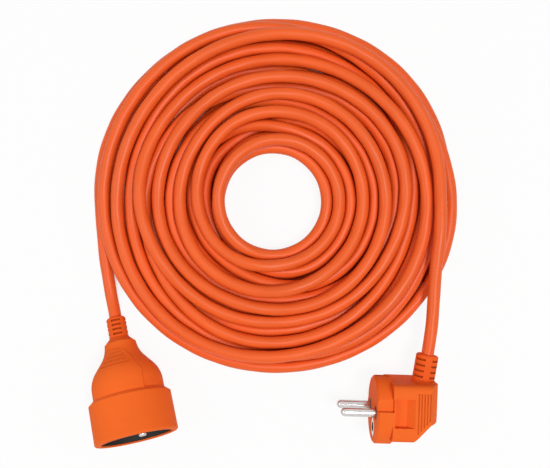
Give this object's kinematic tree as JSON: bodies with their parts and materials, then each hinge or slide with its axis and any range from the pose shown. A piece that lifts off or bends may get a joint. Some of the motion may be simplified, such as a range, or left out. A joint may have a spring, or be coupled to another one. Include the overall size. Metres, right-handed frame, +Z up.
{
  "type": "extension cord",
  "caption": "Coiled orange mains extension cord with a round earthed trailing socket and a right-angle earthed plug, both with slotted strain reliefs.",
  "frame": {"origin": "middle of the coil's eye, on the surface that the coil lies on", "axes": "+Z up out of the coil; +Y away from the side with the socket and the plug; +X to the right, towards the plug's side"},
  "size_m": [0.2042, 0.2417, 0.0499],
  "materials": {
    "orange_cord": "satin orange PVC sheath",
    "orange_housing": "satin orange PVC",
    "black_plastic": "matt black",
    "nickel": "nickel plate",
    "brass": "bright brass",
    "spring_steel": "spring wire",
    "copper": "bare copper strands",
    "brown_core": "brown insulation",
    "blue_core": "blue insulation",
    "green_yellow_core": "green and yellow insulation"
  },
  "bodies": {
    "cord_set": {"cord_coil": "orange_cord", "cord_socket_lead": "orange_cord", "cord_plug_lead": "orange_cord", "socket_body": "orange_housing", "socket_strain_relief": "orange_housing", "socket_insert": "black_plastic", "socket_earth_pin": "nickel", "socket_contact_carrier": "black_plastic", "socket_shutter_spring": "spring_steel", "socket_line_contact": "brass", "socket_neutral_contact": "brass", "socket_sheath_end": "orange_cord", "socket_line_core": "brown_core", "socket_neutral_core": "blue_core", "socket_earth_core": "green_yellow_core", "socket_conductors": "copper", "plug_body": "orange_housing", "plug_strain_relief": "orange_housing", "plug_bridge": "black_plastic", "plug_line_pin": "nickel", "plug_neutral_pin": "nickel", "plug_earth_strap": "nickel", "plug_earth_sleeve": "nickel", "plug_sheath_end": "orange_cord", "plug_line_core": "brown_core", "plug_neutral_core": "blue_core", "plug_earth_core": "green_yellow_core", "plug_conductors": "copper"},
    "shutter": {"socket_shutter": "black_plastic"}
  },
  "joints": [
    {"name": "shutter_slide", "type": "slide", "parent": "cord_set", "child": "shutter", "axis": [-0.1815, 0.2822, 0.942], "range_m": [0, 0.0058], "stiffness_N_per_m": 150, "springref_m": -0.004, "deforming": ["socket_shutter_spring"]}
  ]
}
